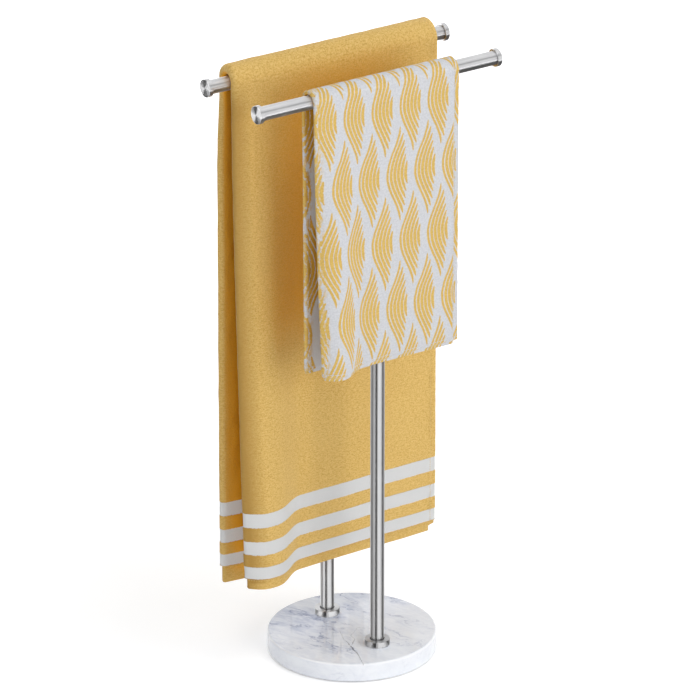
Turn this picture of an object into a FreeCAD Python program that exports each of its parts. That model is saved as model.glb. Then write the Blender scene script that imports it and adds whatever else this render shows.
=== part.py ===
import FreeCAD, Part
import math
import os

# Free-standing double towel stand: a stone disc carries a front and a rear T-shaped rail, and a folded
# towel hangs over each rail. Millimetres. The origin is the centre of the base on the floor, +X runs
# along the rails, -Y is the front and +Z is up.

# Base
base_diameter = 229.0
base_thickness = 25.4
base_top_round = 3.0
base_bottom_round = 1.5
pad_diameter = 221.0
pad_thickness = 1.6
post_spacing = 119.0
bolt_well_diameter = 30.0
bolt_well_depth = 10.0

# Tube of the posts and rails
tube_diameter = 19.0
tube_wall = 1.2

# Rails, measured from the floor to the rail axis and from tip to tip over the end caps
rail_height = 827.5
rail_length = 381.0
post_joint_height = 432.0

# End caps
cap_diameter = 24.4
cap_thickness = 6.5
cap_round = 0.8
cap_socket_gap = 0.6
cap_socket_depth = 2.0
cap_spigot_length = 12.0

# Rail joint: an insert in the rail, a stud, and a saddle between the rail and the post
rail_stud_diameter = 6.0
rail_stud_hole_gap = 0.2
rail_stud_in_post = 16.0
rail_insert_length = 24.0
rail_insert_thread_past_axis = 3.0
saddle_below_rail = 12.0
saddle_horn_below_axis = 5.5

# Post plugs and the stud that joins the lower and upper post
plug_length = 20.0
post_stud_diameter = 8.0
post_stud_length = 32.0

# Post foot, which stands in the collar
foot_neck_diameter = 15.5
foot_flange_thickness = 2.6
foot_chamfer = 1.2
foot_above_collar = 1.4
foot_spigot_length = 18.0
foot_thread_past_bolt = 2.0

# Collar on the stone and the flanged bush inside it
collar_diameter = 34.0
collar_height = 8.5
collar_floor = 2.5
collar_bore_gap = 0.6
collar_round = 0.8
bush_flange_diameter = 18.8
bush_flange_thickness = 1.0
bush_wall = 1.5
bush_running_gap = 0.05

# Fixing bolt and washers under the stone
bolt_diameter = 8.0
bolt_length = 40.0
bolt_head_across_flats = 13.0
bolt_head_height = 5.3
flat_washer_diameter = 24.0
flat_washer_thickness = 1.6
spring_washer_diameter = 14.8
spring_washer_thickness = 2.0
spring_washer_split = 1.0
washer_hole_gap = 0.2

# Towels: each drop is from the rail axis to the hem, each shift from the rail's middle along +X
towel_gap = 0.3
bath_towel_width = 321.0
bath_towel_shift = -0.5
bath_towel_thickness = 14.0
bath_towel_drop = 713.5
bath_towel_front_lean = 12.0
bath_towel_back_lean = 8.0
hand_towel_width = 227.5
hand_towel_shift = 3.2
hand_towel_thickness = 5.7
hand_towel_drop = 383.5
hand_towel_front_lean = 9.0
hand_towel_back_lean = 3.0

# Levels and radii that follow from the sizes above
tube_radius = tube_diameter / 2
tube_bore = tube_diameter - 2 * tube_wall
stone_top = pad_thickness + base_thickness
bolt_well_ceiling = pad_thickness + bolt_well_depth
collar_floor_top = stone_top + collar_floor
collar_top = stone_top + collar_height
bush_top = collar_floor_top + bush_flange_thickness
bush_bore = bolt_diameter + 2 * bush_running_gap
bush_diameter = bush_bore + 2 * bush_wall
flat_washer_bottom = bolt_well_ceiling - flat_washer_thickness
spring_washer_bottom = flat_washer_bottom - spring_washer_thickness
bolt_tip = spring_washer_bottom + bolt_length
foot_flange_bottom = collar_top + foot_above_collar
lower_post_bottom = foot_flange_bottom + foot_flange_thickness
saddle_bottom = rail_height - tube_radius - saddle_below_rail
rail_stud_bottom = saddle_bottom - rail_stud_in_post
rail_stud_top = rail_height + rail_insert_thread_past_axis

UP = FreeCAD.Vector(0, 0, 1)
ALONG = FreeCAD.Vector(1, 0, 0)


def post_rod(diameter, bottom, top):
    """A round bar on the post axis between two heights."""
    return Part.makeCylinder(diameter / 2, top - bottom, FreeCAD.Vector(0, 0, bottom), UP)


def rail_rod(diameter, start, end):
    """A round bar on the rail axis between two places along it."""
    return Part.makeCylinder(diameter / 2, end - start, FreeCAD.Vector(start, 0, rail_height), ALONG)


def rims(shape, diameter, centre):
    """The circular edges of one diameter about one centre."""
    found = []
    for edge in shape.Edges:
        curve = edge.Curve
        if not isinstance(curve, Part.Circle):
            continue
        if abs(2 * curve.Radius - diameter) < 1e-4 and curve.Center.distanceToPoint(centre) < 1e-4:
            found.append(edge)
    return found


def marble_base():
    """The stone disc with a bolt hole and a bolt well under each post."""
    disc = post_rod(base_diameter, pad_thickness, stone_top)
    top_rim = rims(disc, base_diameter, FreeCAD.Vector(0, 0, stone_top))
    disc = disc.makeFillet(base_top_round, top_rim)
    bottom_rim = rims(disc, base_diameter, FreeCAD.Vector(0, 0, pad_thickness))
    disc = disc.makeFillet(base_bottom_round, bottom_rim)
    hole = post_rod(bush_diameter, pad_thickness, stone_top)
    well = post_rod(bolt_well_diameter, pad_thickness, bolt_well_ceiling)
    for y in post_places.values():
        disc = disc.cut(placed(hole, y)).cut(placed(well, y))
    return disc


def base_pad():
    """The thin pad glued under the stone, open at each bolt well."""
    pad = post_rod(pad_diameter, 0, pad_thickness)
    opening = post_rod(bolt_well_diameter, 0, pad_thickness)
    for y in post_places.values():
        pad = pad.cut(placed(opening, y))
    return pad


def collar():
    """The round socket on the stone that the post foot stands in."""
    ring = post_rod(collar_diameter, stone_top, collar_top)
    ring = ring.makeFillet(collar_round, rims(ring, collar_diameter, FreeCAD.Vector(0, 0, collar_top)))
    bore = post_rod(tube_diameter + 2 * collar_bore_gap, collar_floor_top, collar_top)
    return ring.cut(bore).cut(post_rod(bush_diameter, stone_top, collar_top))


def pivot_bush():
    """The flanged nylon bush that the bolt turns in and the post foot rests on."""
    flange = post_rod(bush_flange_diameter, collar_floor_top, bush_top)
    sleeve = post_rod(bush_diameter, bolt_well_ceiling, bush_top)
    return flange.fuse(sleeve).cut(post_rod(bush_bore, bolt_well_ceiling, bush_top)).removeSplitter()


def flat_washer():
    """The wide washer that spreads the bolt's pull over the stone."""
    disc = post_rod(flat_washer_diameter, flat_washer_bottom, bolt_well_ceiling)
    hole = post_rod(bolt_diameter + 2 * washer_hole_gap, flat_washer_bottom, bolt_well_ceiling)
    return disc.cut(hole)


def spring_washer():
    """The split washer that keeps the swivel's friction up."""
    disc = post_rod(spring_washer_diameter, spring_washer_bottom, flat_washer_bottom)
    hole = post_rod(bolt_diameter + 2 * washer_hole_gap, spring_washer_bottom, flat_washer_bottom)
    split = Part.makeBox(
        spring_washer_diameter,
        spring_washer_split,
        spring_washer_thickness,
        FreeCAD.Vector(0, -spring_washer_split / 2, spring_washer_bottom),
    )
    return disc.cut(hole).cut(split)


def base_bolt():
    """The hexagon bolt that holds the post foot down."""
    corner_radius = bolt_head_across_flats / math.sqrt(3)
    head_bottom = spring_washer_bottom - bolt_head_height
    corners = []
    for turn in range(7):
        angle = math.radians(60 * turn)
        corners.append(
            FreeCAD.Vector(corner_radius * math.cos(angle), corner_radius * math.sin(angle), head_bottom)
        )
    head = Part.Face(Part.makePolygon(corners)).extrude(FreeCAD.Vector(0, 0, bolt_head_height))
    shank = post_rod(bolt_diameter, spring_washer_bottom, bolt_tip)
    return head.fuse(shank).removeSplitter()


def post_foot():
    """The turned foot pressed into the lower post: neck, chamfered flange and spigot, tapped for the bolt."""
    neck = post_rod(foot_neck_diameter, bush_top, foot_flange_bottom)
    flange = post_rod(tube_diameter, foot_flange_bottom, lower_post_bottom)
    lower_rim = rims(flange, tube_diameter, FreeCAD.Vector(0, 0, foot_flange_bottom))
    flange = flange.makeChamfer(foot_chamfer, lower_rim)
    spigot = post_rod(tube_bore, lower_post_bottom, lower_post_bottom + foot_spigot_length)
    thread = post_rod(bolt_diameter, bush_top, bolt_tip + foot_thread_past_bolt)
    return neck.fuse([flange, spigot]).cut(thread).removeSplitter()


def post_tube(bottom, top):
    """One length of post tube."""
    return post_rod(tube_diameter, bottom, top).cut(post_rod(tube_bore, bottom, top))


def post_plug(bottom, thread_diameter):
    """A tapped plug pressed into a post tube."""
    top = bottom + plug_length
    return post_rod(tube_bore, bottom, top).cut(post_rod(thread_diameter, bottom, top))


def rail_saddle():
    """The short seat between post and rail, hollowed to the rail's round underside."""
    seat = post_rod(tube_diameter, saddle_bottom, rail_height - saddle_horn_below_axis)
    hole = post_rod(rail_stud_diameter + 2 * rail_stud_hole_gap, saddle_bottom, rail_height)
    return seat.cut(rail_rod(tube_diameter, -tube_diameter, tube_diameter)).cut(hole)


def rail_tube():
    """The rail, with a hole underneath for the stud."""
    half = rail_length / 2 - cap_thickness + cap_socket_depth
    tube = rail_rod(tube_diameter, -half, half).cut(rail_rod(tube_bore, -half, half))
    hole = post_rod(rail_stud_diameter + 2 * rail_stud_hole_gap, saddle_bottom, rail_height)
    return tube.cut(hole)


def rail_insert():
    """The tapped insert at the middle of the rail."""
    half = rail_insert_length / 2
    return rail_rod(tube_bore, -half, half).cut(post_rod(rail_stud_diameter, saddle_bottom, rail_stud_top))


def end_cap():
    """The cap on the rail's +X end: a thick disc with a shallow socket round the tube and a spigot in it."""
    face = rail_length / 2
    back = face - cap_thickness
    floor = back + cap_socket_depth
    head = rail_rod(cap_diameter, back, face)
    for x in (back, face):
        head = head.makeFillet(cap_round, rims(head, cap_diameter, FreeCAD.Vector(x, 0, rail_height)))
    socket = rail_rod(tube_diameter + 2 * cap_socket_gap, back, floor)
    spigot = rail_rod(tube_bore, floor - cap_spigot_length, floor)
    return head.cut(socket).fuse(spigot).removeSplitter()


def towel(width, shift, thickness, drop, front_lean, back_lean):
    """A folded towel as one closed solid: an arch over the rail and two layers that lean outwards."""
    inner = tube_radius + towel_gap
    outer = inner + thickness
    hem = rail_height - drop
    start = shift - width / 2

    def point(y, z):
        return FreeCAD.Vector(start, y, z)

    def arch(radius):
        return Part.Arc(
            point(-radius, rail_height), point(0, rail_height + radius), point(radius, rail_height)
        ).toShape()

    def line(first, last):
        return Part.LineSegment(point(*first), point(*last)).toShape()

    edges = [
        arch(outer),
        line((outer, rail_height), (outer + back_lean, hem)),
        line((outer + back_lean, hem), (inner + back_lean, hem)),
        line((inner + back_lean, hem), (inner, rail_height)),
        arch(inner),
        line((-inner, rail_height), (-inner - front_lean, hem)),
        line((-inner - front_lean, hem), (-outer - front_lean, hem)),
        line((-outer - front_lean, hem), (-outer, rail_height)),
    ]
    section = Part.Face(Part.Wire(Part.__sortEdges__(edges)))
    return section.extrude(FreeCAD.Vector(width, 0, 0))


def placed(shape, y):
    """A copy of a shape modelled at Y 0, moved to a post."""
    copy = shape.copy()
    copy.translate(FreeCAD.Vector(0, y, 0))
    return copy


def turned_half(shape):
    """A copy turned half a turn about the post axis."""
    copy = shape.copy()
    copy.rotate(FreeCAD.Vector(0, 0, 0), UP, 180)
    return copy


post_places = {"front": -post_spacing / 2, "rear": post_spacing / 2}
cap = end_cap()
tee = {
    "collar": collar(),
    "pivot_bush": pivot_bush(),
    "flat_washer": flat_washer(),
    "spring_washer": spring_washer(),
    "base_bolt": base_bolt(),
    "post_foot": post_foot(),
    "lower_post": post_tube(lower_post_bottom, post_joint_height),
    "lower_post_plug": post_plug(post_joint_height - plug_length, post_stud_diameter),
    "post_stud": post_rod(
        post_stud_diameter, post_joint_height - post_stud_length / 2, post_joint_height + post_stud_length / 2
    ),
    "upper_post_plug": post_plug(post_joint_height, post_stud_diameter),
    "upper_post": post_tube(post_joint_height, saddle_bottom),
    "post_top_plug": post_plug(saddle_bottom - plug_length, rail_stud_diameter),
    "rail_stud": post_rod(rail_stud_diameter, rail_stud_bottom, rail_stud_top),
    "rail_saddle": rail_saddle(),
    "rail": rail_tube(),
    "rail_insert": rail_insert(),
    "right_cap": cap,
    "left_cap": turned_half(cap),
}
parts = {"marble_base": marble_base(), "base_pad": base_pad()}
for side, y in post_places.items():
    for name, shape in tee.items():
        parts[side + "_" + name] = placed(shape, y)
parts["bath_towel"] = placed(
    towel(
        bath_towel_width,
        bath_towel_shift,
        bath_towel_thickness,
        bath_towel_drop,
        bath_towel_front_lean,
        bath_towel_back_lean,
    ),
    post_places["rear"],
)
parts["hand_towel"] = placed(
    towel(
        hand_towel_width,
        hand_towel_shift,
        hand_towel_thickness,
        hand_towel_drop,
        hand_towel_front_lean,
        hand_towel_back_lean,
    ),
    post_places["front"],
)

os.makedirs("parts", exist_ok=True)
for name, shape in parts.items():
    solids = shape.Solids
    if not shape.isValid() or not solids:
        raise RuntimeError(name + " is not a valid solid")
    shape.exportStep("parts/" + name + ".step")
    print(name, len(solids), round(shape.Volume, 1))
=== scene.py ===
import math
from types import SimpleNamespace

import bpy
import numpy as np
from mathutils import Matrix, Vector


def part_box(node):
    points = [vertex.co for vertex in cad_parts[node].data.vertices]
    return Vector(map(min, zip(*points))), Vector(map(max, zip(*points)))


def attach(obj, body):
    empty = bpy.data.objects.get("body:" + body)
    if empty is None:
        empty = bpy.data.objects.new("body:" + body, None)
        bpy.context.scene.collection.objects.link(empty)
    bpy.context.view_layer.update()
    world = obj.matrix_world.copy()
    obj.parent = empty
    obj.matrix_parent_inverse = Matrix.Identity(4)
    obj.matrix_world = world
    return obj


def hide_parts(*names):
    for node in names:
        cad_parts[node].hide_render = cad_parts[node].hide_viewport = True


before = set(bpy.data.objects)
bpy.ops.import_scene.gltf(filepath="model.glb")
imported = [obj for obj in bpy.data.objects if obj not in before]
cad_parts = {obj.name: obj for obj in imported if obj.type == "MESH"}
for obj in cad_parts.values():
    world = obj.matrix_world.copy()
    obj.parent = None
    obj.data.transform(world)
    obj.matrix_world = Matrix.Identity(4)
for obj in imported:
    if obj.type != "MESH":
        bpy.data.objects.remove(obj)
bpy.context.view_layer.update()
scene = bpy.context.scene
mm = 0.001
print("frame loaded:", len(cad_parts), "nodes")


def addObject(name, data):
    made = bpy.data.objects.new(name, data)
    scene.collection.objects.link(made)
    return made


def wayTo(azimuth, elevation):  # degrees, from the front and up from level
    turn, rise = math.radians(azimuth), math.radians(elevation)
    return Vector((math.sin(turn) * math.cos(rise), -math.cos(turn) * math.cos(rise), math.sin(rise)))


# where the camera stands round the rack, and how far off

viewpoint = {
    "azimuth": -34.596,
    "elevation": 22.903,
    "distance": 8.2916,
    "lens": 321.2,
    "sensor": 36,
    "aimHeight": 0.4351,
    "aimRight": -0.0027,
}


def placeCamera(spec):
    turn = math.radians(spec["azimuth"])
    right = Vector((math.cos(turn), math.sin(turn), 0))
    back = wayTo(spec["azimuth"], spec["elevation"])
    up = back.cross(right)
    data = bpy.data.cameras.new("camera")
    data.lens = spec["lens"]
    data.sensor_width = spec["sensor"]
    data.clip_start = 0.1
    data.clip_end = 60
    camera = addObject("camera", data)
    aim = right * spec["aimRight"] + Vector((0, 0, spec["aimHeight"]))
    facing = Matrix((right, up, back)).transposed().to_4x4()
    camera.matrix_world = Matrix.Translation(aim + back * spec["distance"]) @ facing
    scene.camera = camera


placeCamera(viewpoint)


def emptyTree(holder):
    holder.use_nodes = True
    holder.node_tree.nodes.clear()
    return holder.node_tree


def feed(tree, socket, value):
    if isinstance(value, bpy.types.NodeSocket):
        tree.links.new(value, socket)
    elif value is not None:
        socket.default_value = value


def feedAll(tree, node, values):
    for key, value in values.items():
        feed(tree, node.inputs[key], value)


def addNode(tree, kind, inputs=None, **settings):
    made = tree.nodes.new(kind)
    for key, value in settings.items():
        setattr(made, key, value)
    feedAll(tree, made, inputs or {})
    return made


def newFinish(name):
    finish = bpy.data.materials.new(name)
    tree = emptyTree(finish)
    shader = addNode(tree, "ShaderNodeBsdfPrincipled")
    addNode(tree, "ShaderNodeOutputMaterial", {"Surface": shader.outputs["BSDF"]})
    return finish, tree, shader


def calc(tree, operation, a, b=None):
    return addNode(tree, "ShaderNodeMath", {0: a, 1: b}, operation=operation).outputs[0]


def plus(tree, a, b):
    return calc(tree, "ADD", a, b)


def minus(tree, a, b):
    return calc(tree, "SUBTRACT", a, b)


def times(tree, a, b):
    return calc(tree, "MULTIPLY", a, b)


def larger(tree, a, b):
    return calc(tree, "MAXIMUM", a, b)


def smaller(tree, a, b):
    return calc(tree, "MINIMUM", a, b)


def vectorCalc(tree, operation, a, b):
    second = "Scale" if operation == "SCALE" else 1
    made = addNode(tree, "ShaderNodeVectorMath", {0: a, second: b}, operation=operation)
    return made.outputs["Value" if operation in ("DISTANCE", "DOT_PRODUCT") else "Vector"]


def span(tree, value, low, high, toLow=0.0, toHigh=1.0, smooth=True):
    kind = "SMOOTHSTEP" if smooth else "LINEAR"
    inputs = dict(enumerate((value, low, high, toLow, toHigh)))
    return addNode(tree, "ShaderNodeMapRange", inputs, interpolation_type=kind).outputs[0]


def blendColor(tree, share, a, b):
    return addNode(tree, "ShaderNodeMix", {0: share, 6: a, 7: b}, data_type="RGBA").outputs[2]


def darker(color, share):
    return tuple(c * share for c in color[:3]) + (1,)


def noise(tree, place, scale, detail, rough, warp=0.0, output="Fac"):
    inputs = {"Vector": place, "Scale": scale, "Detail": detail, "Roughness": rough, "Distortion": warp}
    return addNode(tree, "ShaderNodeTexNoise", inputs).outputs[output]


def wander(tree, place, scale, detail, rough, reach):  # a random step, the same every way
    color = noise(tree, place, scale, detail, rough, output="Color")
    return vectorCalc(tree, "SCALE", vectorCalc(tree, "SUBTRACT", color, (0.5, 0.5, 0.5)), reach)


def bump(tree, height, depth, strength):
    inputs = {"Height": height, "Distance": depth, "Strength": strength}
    return addNode(tree, "ShaderNodeBump", inputs).outputs["Normal"]


def axes(tree, vector):
    return addNode(tree, "ShaderNodeSeparateXYZ", {"Vector": vector}).outputs


def mapped(tree, place, scale=(1, 1, 1), move=(0, 0, 0), turn=(0, 0, 0)):
    inputs = {"Vector": place, "Location": move, "Rotation": turn, "Scale": scale}
    return addNode(tree, "ShaderNodeMapping", inputs).outputs["Vector"]


def objectPlace(tree, **settings):
    return mapped(tree, tree.nodes.new("ShaderNodeTexCoord").outputs["Object"], **settings)


marble = {
    "white": (0.85, 0.885, 0.94, 1),
    "cloud": (0.47, 0.52, 0.66, 1),
    "vein": (0.27, 0.31, 0.46, 1),
    # painted highlight along the rounded rim
    "rim": (0.88, 0.89, 0.91, 1),
    # painted light: the side is painted lighter than the top
    "side": (0.87, 0.87, 0.875, 1),
    "crack": (0.09, 0.095, 0.12, 1),
    "veinTurn": 65,  # degrees, how the veins run across the disc
    "veinMove": (1.2, -0.22, 0.87),  # another move cuts another stone
    "veinStretch": (0.62, 1.2, 1.0),
    "grain": {"bend": 11, "cloud": 24, "broad": 9, "broken": 70, "mottle": 85, "vein": 19, "ragged": 110},
    "share": {"cloud": 0.76, "mottle": 0.40, "vein": 0.8, "rim": 0.8, "side": 0.35},
    "bend": 0.06,
    # the far left of the disc is cloudier than the near right: that way, from and to, and how cloudy there
    "cloudyWay": (-0.5, 0.87, 0),
    "cloudy": (-0.12, 0.09, 0.5, 1.15),
    "roughness": (0.09, 0.14),
    # the open crack beside the front post, in mm from that post, and the hair line that leaves it
    "crackPath": ((-19, 62), (-22, 54), (-29, 38), (-34, 13), (-41, -14), (-52, -44)),
    "hairPath": ((-34, 13), (-17, 27), (-15, 40), (7, 56), (21, 43)),
    "crackMiddle": (-37, 2, 0),
    "crackRagged": 5.0,
    "crackWidth": (1.7, 0.9),  # at its middle, and at its ends
    "hairWidth": 1.1,
}


def pathDistance(tree, spot, path):
    nearest = None
    for start, end in zip(path[:-1], path[1:]):
        run = Vector((end[0] - start[0], end[1] - start[1], 0))
        rel = vectorCalc(tree, "SUBTRACT", spot, (start[0], start[1], 0))
        share = vectorCalc(tree, "DOT_PRODUCT", rel, tuple(run / run.length_squared))
        share = smaller(tree, larger(tree, share, 0.0), 1.0)
        gap = vectorCalc(tree, "DISTANCE", rel, vectorCalc(tree, "SCALE", tuple(run), share))
        nearest = gap if nearest is None else smaller(tree, nearest, gap)
    return nearest


def crackLines(tree, spec):  # a little ragged, darkest near the middle
    lo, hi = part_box("front_lower_post")
    post = (-(lo.x + hi.x) / 2 / mm, -(lo.y + hi.y) / 2 / mm, 0)
    spot = mapped(tree, objectPlace(tree), (1 / mm, 1 / mm, 0), post)
    ragged = wander(tree, objectPlace(tree), spec["grain"]["ragged"], 3, 0.6, spec["crackRagged"])
    spot = vectorCalc(tree, "ADD", spot, ragged)
    middle = vectorCalc(tree, "DISTANCE", spot, spec["crackMiddle"])
    wide = span(tree, middle, 4.0, 26.0, *spec["crackWidth"])
    crack = span(tree, pathDistance(tree, spot, spec["crackPath"]), 0.2, wide, 1, 0)
    hair = span(tree, pathDistance(tree, spot, spec["hairPath"]), 0.2, spec["hairWidth"], 0.7, 0)
    strength = span(tree, noise(tree, objectPlace(tree), 42, 2, 0.5), 0.35, 0.6, 0.6, 1.0)
    strength = times(tree, strength, span(tree, middle, 16.0, 52.0, 1.0, 0.4))
    return times(tree, larger(tree, crack, hair), strength)


def marbleFinish(spec):
    finish, tree, shader = newFinish("polishedMarble")
    grain, share = spec["grain"], spec["share"]
    turned = objectPlace(tree, move=spec["veinMove"], turn=(0, 0, math.radians(spec["veinTurn"])))
    place = mapped(tree, turned, spec["veinStretch"])
    bent = vectorCalc(tree, "ADD", place, wander(tree, place, grain["bend"], 4, 0.6, spec["bend"]))
    clouds = noise(tree, bent, grain["cloud"], 8, 0.66)
    broad = noise(tree, place, grain["broad"], 2, 0.5)
    cloudy = vectorCalc(tree, "DOT_PRODUCT", objectPlace(tree), spec["cloudyWay"])
    cloudy = span(tree, cloudy, *spec["cloudy"])
    patch = span(tree, plus(tree, clouds, times(tree, broad, 0.5)), 0.56, 0.92)
    broken = span(tree, noise(tree, bent, grain["broken"], 4, 0.65), 0.36, 0.62, 0.4, 1.0)
    patch = times(tree, times(tree, patch, cloudy), broken)
    # the side is painted lighter, with fewer clouds and veins, and the rounded rim gets a painted pale
    # highlight
    facing = axes(tree, tree.nodes.new("ShaderNodeNewGeometry").outputs["Normal"])["Z"]
    top = span(tree, facing, 0.1, 0.9)
    patch = times(tree, patch, span(tree, top, 0.0, 1.0, 0.8, 1.0))
    mottle = span(tree, noise(tree, bent, grain["mottle"], 4, 0.6), 0.40, 0.66, 0.0, share["mottle"])
    patch = larger(tree, patch, times(tree, mottle, cloudy))
    color = blendColor(tree, times(tree, patch, share["cloud"]), spec["white"], spec["cloud"])
    veins = calc(tree, "ABSOLUTE", minus(tree, noise(tree, bent, grain["vein"], 6, 0.62), 0.52))
    thin = times(tree, span(tree, veins, 0.0, 0.022, 1, 0), span(tree, clouds, 0.47, 0.60))
    thin = times(tree, times(tree, thin, cloudy), span(tree, top, 0.0, 1.0, 0.45, 1.0))
    color = blendColor(tree, times(tree, thin, share["vein"]), color, spec["vein"])
    # painted highlight on the rounded rim
    rim = times(tree, span(tree, facing, 0.15, 0.5), span(tree, facing, 0.8, 0.99, 1, 0))
    color = blendColor(tree, times(tree, rim, share["rim"]), color, spec["rim"])
    # painted light: the side is painted lighter
    color = blendColor(tree, span(tree, top, 0.0, 1.0, share["side"], 0.0), color, spec["side"])
    crack = times(tree, crackLines(tree, spec), top)
    gloss = span(tree, noise(tree, place, 60, 3, 0.6), 0.3, 0.7, *spec["roughness"])
    looks = {
        "Base Color": blendColor(tree, crack, color, spec["crack"]),
        "Roughness": plus(tree, gloss, times(tree, crack, 0.3)),
        "Normal": bump(tree, minus(tree, 1.0, crack), 0.0002, 0.4),
        "Specular IOR Level": 0.5,
    }
    feedAll(tree, shader, looks)
    return finish


# brushed steel, for round parts about X or about Z: drawn along the axis, or spun round it

steel = {
    "light": (0.74, 0.74, 0.745, 1),
    "dark": (0.60, 0.60, 0.61, 1),
    "smudge": 35,
    "drawn": {
        "grain": 900,
        "uneven": 0.65,
        "stretch": 0.02,
        "roughness": (0.31, 0.39),
        "anisotropy": 0.96,
        "bump": 0.35,
    },
    "spun": {
        "grain": 1260,
        "uneven": 0.6,
        "stretch": 1,
        "roughness": (0.32, 0.36),
        "anisotropy": 1.0,
        "bump": 0.12,
    },
}


def steelFinish(name, axis, way, spec):
    finish, tree, shader = newFinish(name)
    brush = spec[way]
    along = brush["stretch"]
    place = objectPlace(tree, scale=(along, 1, 1) if axis == "X" else (1, 1, along))
    lines = noise(tree, place, brush["grain"], 3, brush["uneven"])
    smudge = noise(tree, objectPlace(tree), spec["smudge"], 3, 0.6)
    tone = plus(tree, times(tree, lines, 0.75), times(tree, smudge, 0.25))
    tangent = addNode(tree, "ShaderNodeTangent", direction_type="RADIAL", axis=axis)
    looks = {
        "Base Color": blendColor(tree, span(tree, tone, 0.35, 0.65), spec["dark"], spec["light"]),
        "Metallic": 1.0,
        "Roughness": span(tree, tone, 0.3, 0.7, *brush["roughness"]),
        "Anisotropic": brush["anisotropy"],
        "Anisotropic Rotation": 0.25,
        "Tangent": tangent.outputs["Tangent"],
        "Normal": bump(tree, lines, 0.00004, brush["bump"]),
    }
    feedAll(tree, shader, looks)
    return finish


# the small hidden parts: plated, moulded or foamed

small = {
    "zincPlate": {
        "color": (0.62, 0.62, 0.64, 1),
        "shade": 0.75,
        "metal": 1.0,
        "grain": (700, 3),
        "roughness": (0.3, 0.42),
        "bump": (0.00003, 0.3),
    },
    "whiteNylon": {
        "color": (0.62, 0.61, 0.58, 1),
        "shade": 0.7,
        "grain": (900, 4),
        "roughness": (0.45, 0.6),
        "bump": (0.00002, 0.5),
    },
    "blackFoam": {
        "color": (0.03, 0.03, 0.032, 1),
        "shade": 0.7,
        "grain": (1400, 4),
        "roughness": (0.85, 1.0),
        "bump": (0.0002, 0.5),
    },
}


def smallFinish(name, spec):
    finish, tree, shader = newFinish(name)
    speck = noise(tree, objectPlace(tree), *spec["grain"], 0.6)
    looks = {
        "Base Color": blendColor(tree, speck, darker(spec["color"], spec["shade"]), spec["color"]),
        "Metallic": spec.get("metal", 0.0),
        "Roughness": span(tree, speck, 0.3, 0.7, *spec["roughness"]),
        "Normal": bump(tree, speck, *spec["bump"]),
    }
    feedAll(tree, shader, looks)
    return finish


def dressNodes():
    spunX = steelFinish("spunSteelX", "X", "spun", steel)
    spunZ = steelFinish("spunSteelZ", "Z", "spun", steel)
    drawnX = steelFinish("drawnSteelX", "X", "drawn", steel)
    drawnZ = steelFinish("drawnSteelZ", "Z", "drawn", steel)
    zinc, nylon, foam = [smallFinish(name, spec) for name, spec in small.items()]
    endings = {
        "marble_base": marbleFinish(marble),
        "base_pad": foam,
        "collar": spunZ,
        "post_foot": spunZ,
        "lower_post": drawnZ,
        "upper_post": drawnZ,
        "rail": drawnX,
        "right_cap": spunX,
        "left_cap": spunX,
        "rail_saddle": spunZ,
        "pivot_bush": nylon,
    }
    for name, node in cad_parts.items():
        short = name.split("_", 1)[1] if name.startswith(("front_", "rear_")) else name
        finish = endings.get(short, zinc)
        for place in node.material_slots:
            place.material = finish
        if not node.material_slots:
            node.data.materials.append(finish)


dressNodes()
print("CAD nodes dressed")


# each towel is one length of cloth, folded once along its left side, then laid over a rail

bath = {
    "name": "bathTowel",
    "node": "bath_towel",
    "rail": "rear_rail",
    "ply": 6.0 * mm,  # thickness of one ply
    "pitch": 7.8 * mm,  # between the middles of the two plies
    "hemPly": 3.6 * mm,
    "hemPitch": 4.6 * mm,
    "hem": 15.0 * mm,
    "hemInset": 9.0 * mm,
    "notch": 9.0 * mm,
    "backHem": 9.5 * mm,  # how much taller the hem is at the back
    "archLift": 1.8 * mm,
    "hemFront": 3.5 * mm,  # how much higher than the CAD hem
    "hemBack": -8.0 * mm,
    "foldIn": 1.0 * mm,
    "foldDrift": (-1.7 * mm, 4.0 * mm),
    "hill": 32.0 * mm,  # how far the front swells at its hem, and where across
    "hillTop": -127 * mm,
    "hillLeft": 42.4 * mm,
    "hillRight": (8 * mm, 66 * mm),
    "hillGrow": 1.2,
    "lean": 4.5 * mm,
    "edgeRoll": 6.0 * mm,
    "rollReach": 24.0 * mm,
    "wave": 1.1 * mm,
    "backWave": 3.2 * mm,
    "stripes": ((16.5, 33.5), (51.0, 70.0), (90.0, 110.0)),  # mm above the hem
    "stripeSink": 1.5 * mm,
    "fuzz": 0.28 * mm,
    "columnStep": 6.4 * mm,
    "rowStep": 7.5 * mm,
    "seed": 11,
}

hand = {
    "name": "handTowel",
    "node": "hand_towel",
    "rail": "front_rail",
    "ply": 2.6 * mm,
    "pitch": 3.1 * mm,
    "hemPly": 2.0 * mm,
    "hemPitch": 2.5 * mm,
    "hem": 4.5 * mm,
    "hemInset": 6.5 * mm,
    "notch": 4.5 * mm,
    "backHem": 0.0,
    "archLift": 0.6 * mm,
    "hemFront": 0.0,
    "hemBack": 0.0,
    "foldIn": 0.9 * mm,
    "foldDrift": (6.4 * mm, -1.0 * mm),
    "hill": 20.0 * mm,
    "hillTop": -80 * mm,
    "hillLeft": 26.2 * mm,
    "hillRight": (0 * mm, 45 * mm),
    "hillGrow": 1.25,
    "lean": 1.0 * mm,
    "edgeRoll": 1.5 * mm,
    "rollReach": 12.0 * mm,
    "wave": 0.6 * mm,
    "backWave": 2.0 * mm,
    "stripes": (),
    "stripeSink": 0.0,
    "fuzz": 0.08 * mm,
    "columnStep": 4.5 * mm,
    "rowStep": 5.0 * mm,
    "seed": 23,
}

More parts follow.
